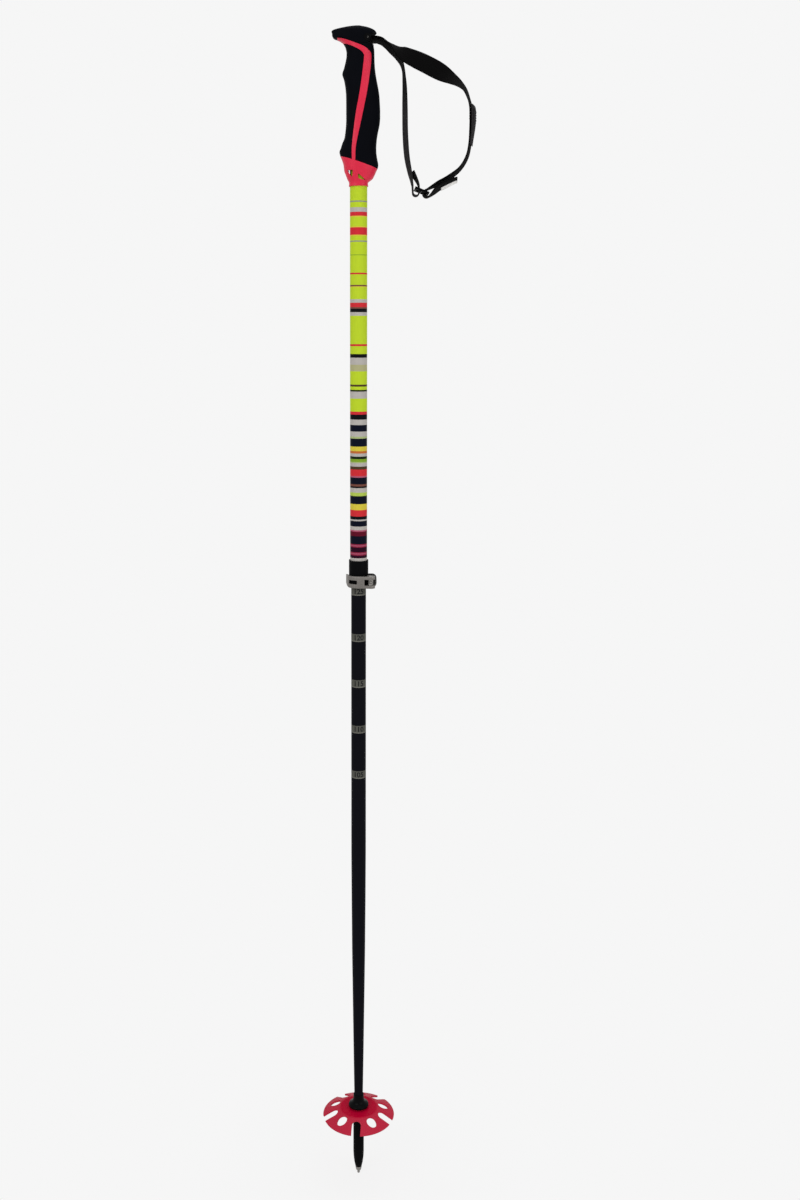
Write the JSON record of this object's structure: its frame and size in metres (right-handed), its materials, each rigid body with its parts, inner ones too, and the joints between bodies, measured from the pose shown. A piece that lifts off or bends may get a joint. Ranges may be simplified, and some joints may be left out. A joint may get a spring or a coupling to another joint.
{
  "type": "ski pole",
  "caption": "Telescopic ski pole: ergonomic grip with wrist strap, two tubes joined by a lever clamp, slotted snow basket and hard metal tip.",
  "frame": {"origin": "centre of the tip pin's flat end", "axes": "+Z along the shafts towards the grip, -X is the grip's front with its beak, +X is the side where the strap leaves, -Y is the side of the clamp lever"},
  "size_m": [0.1617, 0.0783, 1.2458],
  "materials": {
    "grip_core_red_plastic": "satin red moulding",
    "grip_rubber": "soft matt black",
    "small_steel": "plain steel",
    "strap_fabric": "woven black webbing",
    "black_plastic": "satin black moulding",
    "lime_tube": "lime paint with plain coloured rings",
    "pale_plastic": "plain",
    "lever_metal": "grey, satin",
    "black_tube": "satin black with grey length marks",
    "basket_red_plastic": "satin red moulding"
  },
  "bodies": {
    "handle": {"grip_core": "grip_core_red_plastic", "grip_front_pad": "grip_rubber", "grip_rear_pad": "grip_rubber", "grip_head": "grip_rubber", "strap_pin": "small_steel", "upper_shaft": "lime_tube", "clamp_body": "black_plastic", "clamp_liner": "pale_plastic", "lever_barrel": "small_steel", "cam_saddle": "small_steel", "bolt_washer": "small_steel"},
    "strap": {"strap_webbing": "strap_fabric", "strap_overlap": "strap_fabric", "strap_slider": "black_plastic"},
    "lever": {"clamp_lever": "lever_metal"},
    "bolt": {"tension_bolt": "small_steel"},
    "carriage": {"guide_bush": "pale_plastic"},
    "lower": {"lower_shaft": "black_tube", "basket_collar": "black_plastic", "tip_ferrule": "black_plastic", "tip_collar": "small_steel", "tip_pin": "small_steel"},
    "basket": {"basket": "basket_red_plastic"}
  },
  "joints": [
    {"name": "length_slide", "type": "slide", "parent": "handle", "child": "carriage", "axis": [0, 0, 1], "range_m": [-0.15, 0.2]},
    {"name": "shaft_twist", "type": "hinge", "parent": "carriage", "child": "lower", "pos_m": [0, 0, 0.9], "axis": [0, 0, 1], "continuous": true},
    {"name": "basket_turn", "type": "hinge", "parent": "lower", "child": "basket", "pos_m": [0, 0, 0.07], "axis": [0, 0, 1], "continuous": true},
    {"name": "lever_open", "type": "hinge", "parent": "handle", "child": "lever", "pos_m": [0.01272, -0.0097, 0.669], "axis": [0, 0, 1], "range_deg": [0, 150]},
    {"name": "bolt_turn", "type": "hinge", "parent": "handle", "child": "bolt", "pos_m": [0.01272, 0, 0.669], "axis": [0, 1, 0], "continuous": true},
    {"name": "strap_swing", "type": "hinge", "parent": "handle", "child": "strap", "pos_m": [0.009, 0, 1.2323], "axis": [0, 1, 0], "range_deg": [-15, 10]}
  ]
}
